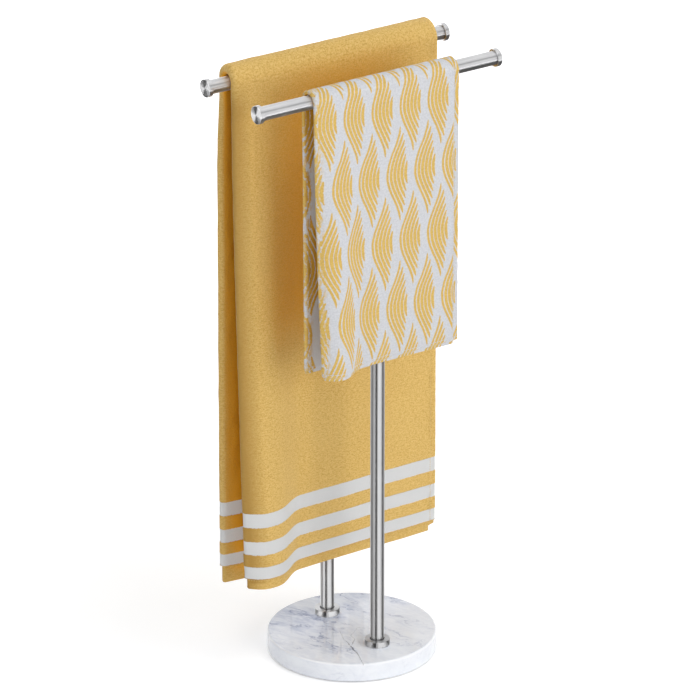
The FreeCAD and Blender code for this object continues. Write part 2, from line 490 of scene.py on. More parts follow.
weave = {
    "offRail": 0.3 * mm,
    "tip": 2.2 * mm,  # the cloth's ends are rounded off over this
    "soft": 1.2 * mm,  # how softly a hem begins
    "stripeSoft": 0.8,
    "sideSeam": 6.5 * mm,
    "bendRows": 19,
    "foldTurns": np.linspace(0, math.pi, 9)[1:-1],
    "edgeTurns": np.radians([30, 60, 90, 120, 150]),
    "edgeJitter": 0.12 * mm,
    "hemWaver": (0.5 * mm, 43, 25 * mm),  # height, waves a metre, and how far up it reaches
}


def smoothStep(value, low, high):
    share = np.clip((value - low) / (high - low), 0, 1)
    return share * share * (3 - 2 * share)


def rowPlaces(spec, length, frontDrop, arch):  # rows stand close where a hem or a stripe begins
    stops = [0.0, 0.25, 0.7, 1.3, 2.2]
    hem = spec["hem"] / mm
    stops += [hem - 1.5, hem - 0.5, hem + 0.5, hem + 1.5]
    notch = spec["notch"] / mm
    stops += [notch - 1.2, notch, notch + 1.2, hem * 0.35, hem * 0.8]
    for low, high in spec["stripes"]:
        for edge in (low, high):
            stops += [edge - 1.6, edge - 0.6, edge + 0.6, edge + 1.6]
        stops += list(np.linspace(low, high, 5)[1:-1])
    near = np.array(sorted(stops)) * mm
    atBack = np.where(near > 3 * mm, near + spec["backHem"], near)
    atBack = np.concatenate([atBack, [5 * mm, 9 * mm] if spec["backHem"] else []])
    atBack.sort()
    plainFront = np.arange(near[-1], frontDrop, spec["rowStep"])[1:]
    bend = np.linspace(frontDrop, frontDrop + arch, weave["bendRows"])
    plainBack = np.arange(atBack[-1], length - frontDrop - arch, spec["rowStep"])[1:]
    front = np.concatenate([near, plainFront[plainFront < frontDrop - 2 * mm], bend])
    back = length - np.concatenate([atBack, plainBack])[::-1]
    return np.concatenate([front, back[back > frontDrop + arch + 2 * mm]])


def layRows(spec):  # where each row lies: how far below the rail, or how far round it
    lo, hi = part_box(spec["node"])
    railLo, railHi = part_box(spec["rail"])
    total = spec["ply"] + spec["pitch"]
    railZ = (railLo.z + railHi.z) / 2
    middle = (railHi.z - railLo.z) / 2 + weave["offRail"] + total / 2
    frontDrop = railZ - lo.z - spec["hemFront"]
    backDrop = railZ - lo.z - spec["hemBack"]
    arch = math.pi * middle
    length = frontDrop + arch + backDrop
    along = rowPlaces(spec, length, frontDrop, arch)
    isBack = along > frontDrop + arch / 2
    below = np.where(along < frontDrop, frontDrop - along, np.maximum(along - frontDrop - arch, 0))
    down = below / np.where(isBack, backDrop, frontDrop)
    return SimpleNamespace(
        lo=lo,
        hi=hi,
        railY=(railLo.y + railHi.y) / 2,
        railZ=railZ,
        total=total,
        middle=middle,
        length=length,
        along=along,
        fromEnd=np.minimum(along, length - along),
        isBack=isBack,
        below=below,
        down=down,
        grow=down ** spec["hillGrow"],
        turn=np.clip((along - frontDrop) / middle, 0, math.pi),
        foldX=lo.x + total / 2 + spec["foldIn"],
    )


def plyProfile(spec, lay):
    fromEnd, soft, rim = lay.fromEnd, weave["soft"], weave["stripeSoft"]
    roundOff = np.sqrt(np.clip(1 - (1 - np.clip(fromEnd / weave["tip"], 0, 1)) ** 2, 0, 1))
    fromEnd = fromEnd - spec["backHem"] * lay.isBack
    hemShare = 1 - smoothStep(fromEnd, spec["hem"] - soft, spec["hem"] + soft)
    ply = spec["ply"] + (spec["hemPly"] - spec["ply"]) * hemShare
    pitch = spec["pitch"] + (spec["hemPitch"] - spec["pitch"]) * hemShare
    for low, high in spec["stripes"]:
        sunk = smoothStep(fromEnd, (low - rim) * mm, (low + rim) * mm)
        sunk = sunk * (1 - smoothStep(fromEnd, (high - rim) * mm, (high + rim) * mm))
        ply = ply - spec["stripeSink"] * sunk
    ply = ply * (0.35 + 0.65 * roundOff)
    notchShare = 1 - smoothStep(fromEnd, spec["notch"] - 1 * mm, spec["notch"] + 1 * mm)
    return ply, pitch, hemShare, notchShare


def sideLines(spec, lay, hemShare, notchShare, rng):  # left fold and right edges of each row
    frontDrift, backDrift = spec["foldDrift"]
    settle = smoothStep(lay.down, 0, 0.3)
    frontFold = lay.foldX + frontDrift * (settle if frontDrift < 0 else lay.grow)
    backFold = lay.foldX + backDrift * (1 - smoothStep(lay.below, 0, 120 * mm))
    left = np.where(lay.isBack, backFold, frontFold)
    arched = (lay.turn > 0) & (lay.turn < math.pi)
    left = np.where(arched, lay.foldX + backDrift * smoothStep(lay.turn / math.pi, 0, 1), left)
    left = left + hemShare * 0.6 * mm
    rolled = np.where(lay.isBack, 0, smoothStep(lay.down, 0.02, 0.35)) * spec["edgeRoll"]
    left = left + 0.7 * rolled
    jitter = rng.normal(0, weave["edgeJitter"], len(lay.along))
    right = lay.hi.x - spec["hemInset"] * notchShare + jitter
    return left, right, rolled


def columnShares(spec, lay):
    width = lay.hi.x - lay.foldX
    even = np.linspace(0, 1, int(round(width / spec["columnStep"])) + 1)
    nearFold = np.array([0.35, 0.8, 1.5]) * lay.total / width
    seam = 1 - weave["sideSeam"] / width
    shares = np.unique(np.round(np.concatenate([even, nearFold, [seam, 1 - 0.8 * mm / width]]), 6))
    return shares, int(np.argmin(np.abs(shares - seam)))


def standOut(spec, lay, j, x, rolled):  # how far a row stands off a plain drape
    rel = x - spec["hillTop"]
    hill = np.where(rel < 0, 1 - (rel / spec["hillLeft"]) ** 2, 1 - smoothStep(rel, *spec["hillRight"]))
    down = lay.down[j]
    ripple = np.sin(x * 31 + 0.9 + 1.3 * down) * 0.6 + np.sin(x * 67 + 2.1 - 2.0 * down) * 0.4
    if lay.isBack[j]:
        out = down * spec["backWave"] * (ripple + 0.7 * np.sin(x * 19 + 0.4))
        out = out + spec["lean"] * down
    else:
        out = lay.grow[j] * spec["hill"] * np.clip(hill, 0, 1) + down * spec["wave"] * ripple
        out = out + spec["lean"] * down * (1 - (x - lay.lo.x) / (lay.hi.x - lay.lo.x) * 0.7)
        out = out - rolled * np.clip(1 - (x - x[0]) / spec["rollReach"], 0, 1) ** 2
    return out + spec["archLift"] * math.sin(lay.turn[j])


def foldRow(x, out, shares, half):  # inner ply from its free edge to the fold, round it, outer ply back
    run = np.concatenate([[0], np.cumsum(np.hypot(np.diff(x), np.diff(out)))])
    flat = shares * run[-1]
    place = np.stack([np.interp(flat, run, x), np.interp(flat, run, out)], 1)
    slope = np.gradient(place, flat, axis=0)
    slope /= np.linalg.norm(slope, axis=1, keepdims=True)
    normal = np.stack([-slope[:, 1], slope[:, 0]], 1)
    turns = weave["foldTurns"][:, None]
    ring = place[0] + half * (np.cos(turns) * normal[0] - np.sin(turns) * slope[0])
    center = np.concatenate([(place - normal * half)[::-1], ring[::-1], place + normal * half])
    facing = np.concatenate([-normal[::-1], ((ring - place[0]) / half)[::-1], normal])
    return SimpleNamespace(center=center, facing=facing, flat=flat, reach=run[-1], end=slope[-1])


def pileLumps(rng, size, height):  # a little smoothed
    raw = rng.normal(0, 1, size)
    raw[1:-1] = (raw[:-2] + 2 * raw[1:-1] + raw[2:]) / 3.4
    raw[:, 1:-1] = (raw[:, :-2] + 2 * raw[:, 1:-1] + raw[:, 2:]) / 3.4
    return np.clip(raw, -2, 2) * height


def rowLoop(row, half, lumpShow, lumpBack):  # once round the cloth's thickness
    show = row.center + row.facing * (half + lumpShow)[:, None]
    hidden = row.center - row.facing * (half + lumpBack)[:, None]
    turns = weave["edgeTurns"][:, None]
    capOuter = row.center[-1] + half * (np.cos(turns) * row.facing[-1] + np.sin(turns) * row.end)
    capInner = row.center[0] + half * (-np.cos(turns) * row.facing[0] + np.sin(turns) * row.end)
    return np.concatenate([show, capOuter, hidden[::-1], capInner])


def flatLoop(row, width):  # the same loop on the flat cloth
    fold = np.linspace(row.reach, width - row.reach, len(weave["foldTurns"]) + 2)[1:-1]
    across = np.concatenate([row.reach - row.flat[::-1], fold, width - row.reach + row.flat])
    edge = np.full(len(weave["edgeTurns"]), width)
    return np.concatenate([across, edge, across[::-1], edge * 0])


def loopFaces(countRows, countCols):
    caps = len(weave["edgeTurns"])
    loopCount = 2 * (countCols + caps)
    faces = []
    for here in range(0, (countRows - 1) * loopCount, loopCount):
        above = here + loopCount
        for i in range(loopCount):
            k = (i + 1) % loopCount
            faces.append((here + i, here + k, above + k, above + i))
    turnBack = 2 * countCols + caps - 1
    for base, flip in ((0, False), ((countRows - 1) * loopCount, True)):
        ends = []
        for i in range(countCols - 1):
            ends.append((base + i, base + turnBack - i, base + turnBack - i - 1, base + i + 1))
        for start in (countCols - 1, turnBack):
            tip = tuple(base + (start + n) % loopCount for n in range(caps + 2))
            ends.append(tip[::-1])
        faces += [face[::-1] for face in ends] if flip else ends
    return faces


def makeTowel(spec):
    lay = layRows(spec)
    ply, pitch, hemShare, notchShare = plyProfile(spec, lay)
    rng = np.random.default_rng(spec["seed"])
    left, right, rolled = sideLines(spec, lay, hemShare, notchShare, rng)
    shares, sideSeam = columnShares(spec, lay)
    fine = np.linspace(0, 1, 601)
    rows = []
    for j in range(len(lay.along)):
        x = left[j] + (right[j] - left[j]) * fine
        rows.append(foldRow(x, standOut(spec, lay, j, x, rolled[j]), shares, pitch[j] / 2))
    width = 2 * float(np.median([row.reach for row in rows])) + math.pi * spec["pitch"] / 2
    countRows, countCols = len(rows), len(rows[0].center)
    lumpShow, lumpBack = [pileLumps(rng, (countRows, countCols), spec["fuzz"]) for face in range(2)]
    taper = np.clip(lay.fromEnd / (3 * mm), 0, 1) * (1 - 0.7 * hemShare)
    waver, waves, waverReach = weave["hemWaver"]
    points, flats = [], []
    for j, row in enumerate(rows):
        loop = rowLoop(row, ply[j] / 2, lumpShow[j] * taper[j], lumpBack[j] * taper[j])
        flat = flatLoop(row, width)
        radius = lay.middle + loop[:, 1]
        y = lay.railY - radius * math.cos(lay.turn[j])
        z = lay.railZ + radius * math.sin(lay.turn[j]) - lay.below[j]
        if lay.turn[j] in (0, math.pi):
            z = z + waver * np.sin(loop[:, 0] * waves + 1.0) * math.exp(-lay.fromEnd[j] / waverReach)
        points.append(np.stack([loop[:, 0], y, z], 1))
        flats.append(np.stack([flat, np.full(len(flat), lay.along[j])], 1))
    points = np.array(points)

    mesh = bpy.data.meshes.new(spec["name"])
    mesh.from_pydata(points.reshape(-1, 3).tolist(), [], loopFaces(countRows, countCols))
    mesh.update()
    plan = mesh.uv_layers.new(name="clothPlan")
    order = np.zeros(len(mesh.loops), np.int32)
    mesh.loops.foreach_get("vertex_index", order)
    plan.data.foreach_set("uv", np.array(flats).reshape(-1, 2)[order].astype(np.float32).ravel())
    mesh.shade_smooth()
    info = {
        "flat": (width, lay.length),
        "points": points,
        "along": lay.along,
        "outer": slice(countCols - len(shares), countCols),  # the columns of the outer ply
        "sideSeam": countCols - len(shares) + sideSeam,
    }
    return addObject(spec["name"], mesh), info


# cloth finishes are drawn on the flat plan of each towel, in metres

terry = {
    "gold": (0.68, 0.445, 0.135, 1),
    # deep and pale follow the pile's bump height: painted shade in its hollows, painted highlight on its
    # tips; pale also marks random patches
    "goldDeep": (0.50, 0.285, 0.066, 1),
    "goldPale": (0.78, 0.57, 0.23, 1),
    "goldPaintedShade": (0.96, 0.425, 0.014, 1),  # painted shade: saturated gold where ambient occlusion finds the cloth shut in, between folds and behind the hand towel
    # painted deep shade: dark gold where ambient occlusion is strongest
    "goldPaintedDeepShade": (0.44, 0.17, 0.006, 1),
    # painted shade along the left fold
    "goldPaintedFoldShade": (0.40, 0.23, 0.055, 1),
    "band": (0.665, 0.665, 0.66, 1),
    "bandDeep": (0.60, 0.60, 0.60, 1),
    # painted light: the stripes are painted paler where ambient occlusion shades them
    "bandPaintedShade": (0.88, 0.865, 0.84, 1),
    "loop": 600,
    "pick": 510,
    "clump": 190,
    "rib": 520,
    "patch": 9,
    "ragged": (420, 0.0022),  # how fine and how far the stripes' edges stray
    "edge": 0.3,
    "depth": 0.0016,
    "paintedShadeReach": 0.11,
    "sheen": ((1.0, 0.93, 0.75, 1), 0.3),
}


def clothPlan(tree):
    return addNode(tree, "ShaderNodeUVMap", uv_map="clothPlan").outputs["UV"]


def clothLooks(tint, sheen):
    return {
        "Roughness": 0.92,
        "Specular IOR Level": 0.12,
        "Sheen Weight": sheen,
        "Sheen Roughness": 0.3,
        "Sheen Tint": tint,
    }


# ambient occlusion, used to paint shade into the cloth colours
def openness(tree, reach):
    return addNode(tree, "ShaderNodeAmbientOcclusion", {"Distance": reach}, samples=8).outputs["AO"]


def stripeBands(tree, fromEnd, stripes, edge):
    band = None
    for low, high in stripes:
        begun = span(tree, fromEnd, (low - edge) * mm, (low + edge) * mm)
        ended = span(tree, fromEnd, (high - edge) * mm, (high + edge) * mm, 1, 0)
        one = times(tree, begun, ended)
        band = one if band is None else larger(tree, band, one)
    return band


def paintedFoldShade(tree, parts, width, length, wide):  # painted shade: darker gold within about 25 mm of the left fold, fading out over the rail and weaker on the back ply
    fromFold = calc(tree, "ABSOLUTE", minus(tree, parts["X"], width / 2))
    foldShade = span(tree, fromFold, 0.002, 0.024, 0.85, 0, smooth=False)
    foldShade = plus(tree, foldShade, times(tree, wide, 0.1))
    fromRail = minus(tree, parts["Y"], length / 2)
    foldShade = times(tree, foldShade, span(tree, calc(tree, "ABSOLUTE", fromRail), 0.01, 0.07))
    foldShade = times(tree, foldShade, span(tree, fromRail, -0.01, 0.03, 1.0, 0.25))
    return times(tree, foldShade, span(tree, fromFold, 0.02, 0.028, 1, 0))


def terryFinish(spec, flat, stripes, backHem):
    width, length = flat
    finish, tree, shader = newFinish("goldTerry")
    plan = clothPlan(tree)
    parts = axes(tree, plan)
    fine, far = spec["ragged"]
    ragged = times(tree, minus(tree, noise(tree, plan, fine, 2, 0.6), 0.5), far)
    v = plus(tree, parts["Y"], ragged)
    fromEnd = smaller(tree, v, minus(tree, length - backHem, v))
    band = stripeBands(tree, fromEnd, stripes, spec["edge"])
    loops = noise(tree, plan, spec["loop"], 2, 0.6, 0.4)
    picks = noise(tree, mapped(tree, plan, (0.45, 1.0, 1.0)), spec["pick"], 2, 0.6)
    clumps = noise(tree, plan, spec["clump"], 3, 0.6)
    wide = noise(tree, plan, spec["patch"], 3, 0.5)
    height = plus(tree, times(tree, loops, 0.5), times(tree, picks, 0.35))
    height = plus(tree, height, times(tree, clumps, 0.15))
    # pile tone keyed to the bump height: painted shade in the hollows and painted highlight on the tips,
    # then random paler patches
    color = blendColor(tree, span(tree, height, 0.40, 0.52, 0.7, 0), spec["gold"], spec["goldDeep"])
    color = blendColor(tree, span(tree, height, 0.50, 0.62, 0, 0.6), color, spec["goldPale"])
    color = blendColor(tree, span(tree, wide, 0.3, 0.7, 0, 0.12), color, spec["goldPale"])
    # painted shade from ambient occlusion: saturated gold where the cloth is shut in, dark gold deepest in
    hidden = openness(tree, spec["paintedShadeReach"])
    paintedShade = span(tree, hidden, 0.33, 0.83, 1.0, 0.0)
    color = blendColor(tree, paintedShade, color, spec["goldPaintedShade"])
    color = blendColor(tree, span(tree, hidden, 0.10, 0.38, 0.95, 0.0), color, spec["goldPaintedDeepShade"])
    color = blendColor(tree, paintedFoldShade(tree, parts, width, length, wide), color, spec["goldPaintedFoldShade"])
    ribs = addNode(
        tree,
        "ShaderNodeTexWave",
        {"Vector": plan, "Scale": spec["rib"], "Distortion": 1.5, "Detail": 2.0, "Detail Scale": 1.5},
        wave_type="BANDS",
        bands_direction="Y",
    ).outputs["Fac"]
    bandColor = blendColor(tree, times(tree, ribs, 0.12), spec["band"], spec["bandDeep"])
    # painted light: the stripes are painted paler where ambient occlusion shades them
    bandColor = blendColor(tree, paintedShade, bandColor, spec["bandPaintedShade"])
    pile = times(tree, height, minus(tree, 1.0, band))
    relief = plus(tree, pile, times(tree, times(tree, ribs, band), 0.08))
    looks = clothLooks(*spec["sheen"])
    looks["Base Color"] = blendColor(tree, band, color, bandColor)
    looks["Normal"] = bump(tree, relief, spec["depth"], 0.8)
    looks["Roughness"] = span(tree, height, 0.35, 0.65, 0.97, 0.86)
    feedAll(tree, shader, looks)
    return finish


# rows of leaves, each of six curved lines that get shorter to the right; sizes in mm

leaf = {
    "pitch": 44.4,  # across, between leaves of one row
    "rise": 187.5,  # between rows of one set
    "firstAt": (-1.1, 798.8),  # across, and above the floor
    "secondAt": 22.4,  # across
    "half": 67.0,
    "left": 20.5,
    "lines": 6,
    "line": 5.75,
    "lineStart": 0.14,
    "longest": 66.0,
    "shorter": 9.9,
    "point": (10.0, 0.45),
    "thread": 0.745,
    "filled": 0.06,
    "sideHem": 6.5,
    "hemJump": 11.0,  # the turned side hem carries a part of the figure that lies elsewhere
    "endHem": 8.6,
    "backDrop": 24.0,  # how the figure lies off on the back and on the inner ply
    "backShift": 9.0,
    "innerShift": 9.0,
    "stray": (380, 1.3),  # how fine and how far the lines stray
    "rub": (330, 9.0),
    "flecks": (260, 0.75),
    "gold": (0.66, 0.44, 0.118, 1),
    # painted shade: saturated gold where ambient occlusion finds the cloth shut in
    "goldPaintedShade": (0.70, 0.34, 0.022, 1),
    "ground": (0.595, 0.60, 0.622, 1),
    "groundDeep": (0.525, 0.53, 0.552, 1),
    # painted light: the ground is painted paler where ambient occlusion shades it
    "groundPaintedShade": (0.78, 0.775, 0.76, 1),
    "paintedShadeReach": 0.06,
    "depth": 0.0006,
    "sheen": ((1, 1, 1, 1), 0.12),
}


def repeatEvery(tree, value, start, step):
    moved = plus(tree, minus(tree, value, start), step / 2)
    return minus(tree, calc(tree, "FLOORED_MODULO", moved, step), step / 2)


def leafSet(tree, spec, u, v, offU, offV):
    u = repeatEvery(tree, u, offU, spec["pitch"])
    away = calc(tree, "ABSOLUTE", repeatEvery(tree, v, offV, spec["rise"]))
    inHalf = smaller(tree, away, spec["half"])
    wave = calc(tree, "COSINE", times(tree, inHalf, math.pi / spec["half"]))
    leftSide = times(tree, plus(tree, wave, 1.0), -spec["left"] / 2)
    count = calc(tree, "DIVIDE", minus(tree, u, leftSide), spec["line"])
    count = plus(tree, count, spec["lineStart"])
    number = calc(tree, "FLOOR", count)
    fromMiddle = calc(tree, "ABSOLUTE", minus(tree, calc(tree, "FRACT", count), 0.5))
    # each line is shorter than the one before it, and comes to a point
    toEnd = minus(tree, spec["longest"], times(tree, number, spec["shorter"]))
    toEnd = minus(tree, toEnd, away)
    reach, power = spec["point"]
    point = calc(tree, "POWER", span(tree, toEnd, 0.0, reach, smooth=False), power)
    width = span(tree, number, 0.2, 0.8, spec["thread"] * 0.84, spec["thread"] * 1.06)
    middle = span(tree, away, 2.0, 17.0, spec["filled"], 0.0)
    filled = times(tree, span(tree, number, 1.2, 1.8), middle)
    width = times(tree, plus(tree, width, filled), point)
    drawn = span(tree, minus(tree, times(tree, width, 0.5), fromMiddle), -0.05, 0.05)
    drawn = times(tree, drawn, calc(tree, "GREATER_THAN", toEnd, 0.0))
    drawn = times(tree, drawn, calc(tree, "GREATER_THAN", number, -0.5))
    return times(tree, drawn, calc(tree, "LESS_THAN", number, spec["lines"] - 0.5))


def nearLine(tree, value, place, low, high):
    gap = calc(tree, "ABSOLUTE", minus(tree, value, place * mm))
    return span(tree, gap, low * mm, high * mm, 1, 0)


def leafFigure(tree, spec, moved, parts, toRight, sideHem, info, box):
    width, length = info["flat"]
    u = plus(tree, moved["X"], box[1].x / mm - width / mm)
    u = plus(tree, u, times(tree, sideHem, spec["hemJump"]))
    u = plus(tree, u, span(tree, toRight, -0.06, 0.0, spec["innerShift"], 0.0))
    u = plus(tree, u, span(tree, parts["Y"], length * 0.45, length * 0.55, 0.0, spec["backShift"]))
    v = plus(tree, moved["Y"], box[0].z / mm)
    v = minus(tree, v, span(tree, parts["Y"], length * 0.55, length * 0.85, 0.0, spec["backDrop"]))
    firstU, firstV = spec["firstAt"]
    first = leafSet(tree, spec, u, v, firstU, firstV - spec["rise"])
    second = leafSet(tree, spec, u, v, spec["secondAt"] - spec["pitch"], firstV - spec["rise"] / 2)
    return larger(tree, first, second)


def leafFinish(spec, info, box):
    finish, tree, shader = newFinish("leafWeave")
    plan = clothPlan(tree)
    width, length = info["flat"]
    parts = axes(tree, plan)
    # the fold at the left rubs the woven figure apart
    toRight = minus(tree, parts["X"], width / 2)
    fromFold = calc(tree, "ABSOLUTE", toRight)
    worn = span(tree, fromFold, 0.005, 0.015, 1, 0)
    streaks = mapped(tree, plan, (1.0, 0.3, 1.0))
    fine, far = spec["stray"]
    rubFine, rubFar = spec["rub"]
    fleckFine, fleckShare = spec["flecks"]
    spot = vectorCalc(tree, "SCALE", plan, 1 / mm)
    spot = vectorCalc(tree, "ADD", spot, wander(tree, plan, fine, 2, 0.6, far))
    rub = wander(tree, streaks, rubFine, 3, 0.7, times(tree, worn, rubFar))
    moved = axes(tree, vectorCalc(tree, "ADD", spot, rub))
    fromSide = minus(tree, width / 2, fromFold)
    fromEnd = smaller(tree, parts["Y"], minus(tree, length, parts["Y"]))
    sideHem = calc(tree, "LESS_THAN", fromSide, spec["sideHem"] * mm)
    endSeam = times(tree, nearLine(tree, fromEnd, spec["endHem"], 0.2, 0.8), 0.5)
    seam = larger(tree, nearLine(tree, fromSide, spec["sideHem"], 0.3, 0.9), endSeam)
    figure = leafFigure(tree, spec, moved, parts, toRight, sideHem, info, box)
    flecks = span(tree, noise(tree, streaks, fleckFine, 3, 0.7), 0.46, 0.57)
    figure = larger(tree, figure, times(tree, flecks, times(tree, worn, fleckShare)))
    figure = times(tree, figure, minus(tree, 1.0, times(tree, seam, 0.8)))
    threads = noise(tree, plan, 900, 2, 0.6)
    fluff = noise(tree, plan, 380, 3, 0.65)
    tone = span(tree, fluff, 0.38, 0.62)
    gold = blendColor(tree, tone, darker(spec["gold"], 0.86), spec["gold"])
    # painted shade and light from ambient occlusion: saturated gold and a paler ground where the cloth is
    # shut in
    paintedShade = span(tree, openness(tree, spec["paintedShadeReach"]), 0.25, 0.9, 0.9, 0.0)
    gold = blendColor(tree, paintedShade, gold, spec["goldPaintedShade"])
    ground = blendColor(tree, tone, spec["groundDeep"], spec["ground"])
    ground = blendColor(tree, paintedShade, ground, spec["groundPaintedShade"])
    relief = plus(tree, times(tree, fluff, 0.7), times(tree, threads, 0.3))
    relief = plus(tree, relief, times(tree, figure, 0.25))
    relief = minus(tree, relief, times(tree, seam, 0.9))
    looks = clothLooks(*spec["sheen"])
    looks["Base Color"] = blendColor(tree, figure, ground, gold)
    looks["Normal"] = bump(tree, relief, spec["depth"], 0.7)
    feedAll(tree, shader, looks)
    return finish


stitch = {
    "spacing": 3.4 * mm,
    "length": 2.5 * mm,
    "thread": 0.42 * mm,
    "slant": 0.16,
    "seed": 5,
    "twist": 2200,
    "bathAt": 13.2 * mm,  # above the end of the cloth
    "bathColor": (0.74, 0.53, 0.21, 1),
    "handColor": (0.70, 0.70, 0.69, 1),
}


def threadFinish(name, color, spec):
    finish, tree, shader = newFinish(name)
    twist = noise(tree, objectPlace(tree), spec["twist"], 2, 0.6)
    looks = {
        "Base Color": blendColor(tree, span(tree, twist, 0.35, 0.65), darker(color, 0.72), color),
        "Roughness": span(tree, twist, 0.3, 0.7, 0.55, 0.75),
        "Normal": bump(tree, twist, 0.0001, 0.5),
    }
    feedAll(tree, shader, looks)
    return finish


def stitchTree():
    tree = bpy.data.node_groups.new("stitchRun", "GeometryNodeTree")
    face = tree.interface
    face.new_socket(name="Seam", in_out="INPUT", socket_type="NodeSocketGeometry")
    kinds = {
        "Spacing": "NodeSocketFloat",
        "Length": "NodeSocketFloat",
        "Thread": "NodeSocketFloat",
        "Slant": "NodeSocketFloat",
        "Seed": "NodeSocketInt",
        "Finish": "NodeSocketMaterial",
    }
    keys = {}
    for label, kind in kinds.items():
        keys[label] = face.new_socket(name=label, in_out="INPUT", socket_type=kind).identifier
    face.new_socket(name="Stitches", in_out="OUTPUT", socket_type="NodeSocketGeometry")
    given = tree.nodes.new("NodeGroupInput").outputs

    def step(kind, inputs, **settings):
        return addNode(tree, kind, inputs, **settings).outputs[0]

    line = step("GeometryNodeMeshToCurve", {"Mesh": given["Seam"]})
    line = step("GeometryNodeResampleCurve", {"Curve": line, "Length": given["Spacing"]}, mode="LENGTH")
    ball = step("GeometryNodeMeshUVSphere", {"Segments": 6, "Rings": 5, "Radius": 1.0})
    half = times(tree, given["Length"], 0.5)
    size = step("ShaderNodeCombineXYZ", {"X": half, "Y": given["Thread"], "Z": given["Thread"]})
    ball = step("GeometryNodeTransform", {"Geometry": ball, "Scale": size})
    along = tree.nodes.new("GeometryNodeInputTangent").outputs["Tangent"]
    turn = step("FunctionNodeAlignRotationToVector", {"Vector": along}, axis="X")
    drawn = addNode(tree, "FunctionNodeRandomValue", {"Seed": given["Seed"]}, data_type="FLOAT")
    feedAll(tree, drawn, {2: times(tree, given["Slant"], 0.4), 3: given["Slant"]})
    swing = step("ShaderNodeCombineXYZ", {"Y": drawn.outputs[1], "Z": drawn.outputs[1]})
    turn = step("FunctionNodeRotateRotation", {"Rotation": turn, "Rotate By": swing}, rotation_space="LOCAL")
    made = step("GeometryNodeInstanceOnPoints", {"Points": line, "Instance": ball, "Rotation": turn})
    made = step("GeometryNodeRealizeInstances", {"Geometry": made})
    made = step("GeometryNodeSetMaterial", {"Geometry": made, "Material": given["Finish"]})
    feed(tree, tree.nodes.new("NodeGroupOutput").inputs["Stitches"], made)
    return tree, keys


def sewSeams(name, info, fromEnds, finish, spec, tree, keys):
    points, along = info["points"], info["along"]
    lines = []
    for at in fromEnds:
        row = int(np.searchsorted(along, at)) - 1
        share = (at - along[row]) / (along[row + 1] - along[row])
        lines.append((points[row] * (1 - share) + points[row + 1] * share)[info["outer"]])
    lines.append(points[:, info["sideSeam"]])
    spots, runs = [], []
    for line in lines:
        first = len(spots)
        spots += line.tolist()
        runs += [(first + i, first + i + 1) for i in range(len(line) - 1)]
    mesh = bpy.data.meshes.new(name + "Seams")
    mesh.from_pydata(spots, runs, [])
    seams = addObject(name + "Seams", mesh)
    sewing = seams.modifiers.new("sewing", "NODES")
    sewing.node_group = tree
    for label, key in keys.items():
        sewing[key] = finish if label == "Finish" else spec[label.lower()]
    ready = seams.evaluated_get(bpy.context.evaluated_depsgraph_get())
    sewn = bpy.data.meshes.new_from_object(ready)
    bpy.data.objects.remove(seams)
    sewn.name = name
    sewn.shade_smooth()
    print(name, len(sewn.polygons), "faces")
    return addObject(name, sewn)


bathTowel, bathInfo = makeTowel(bath)
bathTowel.data.materials.append(terryFinish(terry, bathInfo["flat"], bath["stripes"], bath["backHem"]))
handTowel, handInfo = makeTowel(hand)
handTowel.data.materials.append(leafFinish(leaf, handInfo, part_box("hand_towel")))
sewTree, sewKeys = stitchTree()
bathLength, handLength = bathInfo["flat"][1], handInfo["flat"][1]
bathSeams = (stitch["bathAt"], bathLength - stitch["bathAt"] - bath["backHem"])
handSeams = (leaf["endHem"] * mm, handLength - leaf["endHem"] * mm)
bathThread = threadFinish("bathThread", stitch["bathColor"], stitch)
handThread = threadFinish("handThread", stitch["handColor"], stitch)
bathStitches = sewSeams("bathStitches", bathInfo, bathSeams, bathThread, stitch, sewTree, sewKeys)
handStitches = sewSeams("handStitches", handInfo, handSeams, handThread, stitch, sewTree, sewKeys)
for piece, info in ((bathTowel, bathInfo), (handTowel, handInfo)):
    flatText = " x ".join(f"{size:.3f}" for size in info["flat"])
    print(piece.name, "flat", flatText, "m,", len(piece.data.polygons) * 2, "triangles")


